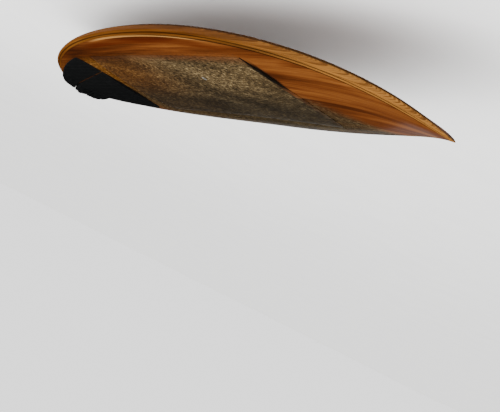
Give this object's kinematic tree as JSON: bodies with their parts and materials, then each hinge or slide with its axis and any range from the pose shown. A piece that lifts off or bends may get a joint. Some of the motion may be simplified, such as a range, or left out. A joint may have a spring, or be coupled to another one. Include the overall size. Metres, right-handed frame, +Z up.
{
  "type": "stand up paddleboard",
  "caption": "Wood-veneered stand up paddleboard with foam core, deck grip, kicked tail pad, sliding centre fin, side fins, leash plug and vent.",
  "frame": {"origin": "middle of the board's length and width, at the height of the centre fin's tip", "axes": "+X towards the nose, +Y to port, +Z up out of the deck"},
  "size_m": [3.1, 0.787, 0.3621],
  "materials": {
    "foam": "matte",
    "spruce": "matte",
    "deck_veneer": "gloss",
    "bottom_veneer": "gloss",
    "rail_wood": "gloss",
    "block_wood": "gloss",
    "pad_foam": "matte",
    "grip": "satin",
    "border": "satin",
    "box_plastic": "satin",
    "fin_laminate": "gloss",
    "pin_steel": "satin",
    "nut_brass": "satin",
    "screw_steel": "polished",
    "cup_plastic": "satin",
    "string": "matte",
    "vent_plastic": "satin",
    "seal_rubber": "matte",
    "membrane": "matte"
  },
  "bodies": {
    "board": {"foam_core_left": "foam", "foam_core_right": "foam", "stringer": "spruce", "deck_skin": "deck_veneer", "bottom_skin": "bottom_veneer", "rail_left": "rail_wood", "rail_right": "rail_wood", "tail_block": "block_wood", "nose_block": "block_wood", "tail_pad_left": "pad_foam", "tail_pad_right": "pad_foam", "tail_pad_centre": "pad_foam", "deck_grip": "grip", "grip_border": "border", "fin_box": "box_plastic", "side_fin_box_left": "box_plastic", "side_fin_left": "fin_laminate", "side_fin_screws_left": "screw_steel", "side_fin_box_right": "box_plastic", "side_fin_right": "fin_laminate", "side_fin_screws_right": "screw_steel", "leash_cup": "cup_plastic", "leash_pin": "pin_steel", "leash_string": "string", "string_hitch": "string", "string_knot": "string", "vent_housing": "vent_plastic", "vent_membrane": "membrane"},
    "fin": {"centre_fin": "fin_laminate", "fin_pin": "pin_steel", "fin_nut": "nut_brass"},
    "fin_screw_body": {"fin_screw": "screw_steel"},
    "vent_screw_body": {"vent_screw": "screw_steel", "vent_ring": "seal_rubber"}
  },
  "joints": [
    {"name": "fin_slide", "type": "slide", "parent": "board", "child": "fin", "axis": [0.9962, 0, -0.0872], "range_m": [-0.026, 0.026]},
    {"name": "fin_screw_turn", "type": "hinge", "parent": "fin", "child": "fin_screw_body", "pos_m": [-1.13064, 0, 0.19328], "axis": [-0.0872, 0, -0.9962], "continuous": true},
    {"name": "vent_screw_turn", "type": "hinge", "parent": "board", "child": "vent_screw_body", "pos_m": [0.15, 0.1, 0.25432], "axis": [0, 0, 1], "continuous": true}
  ]
}
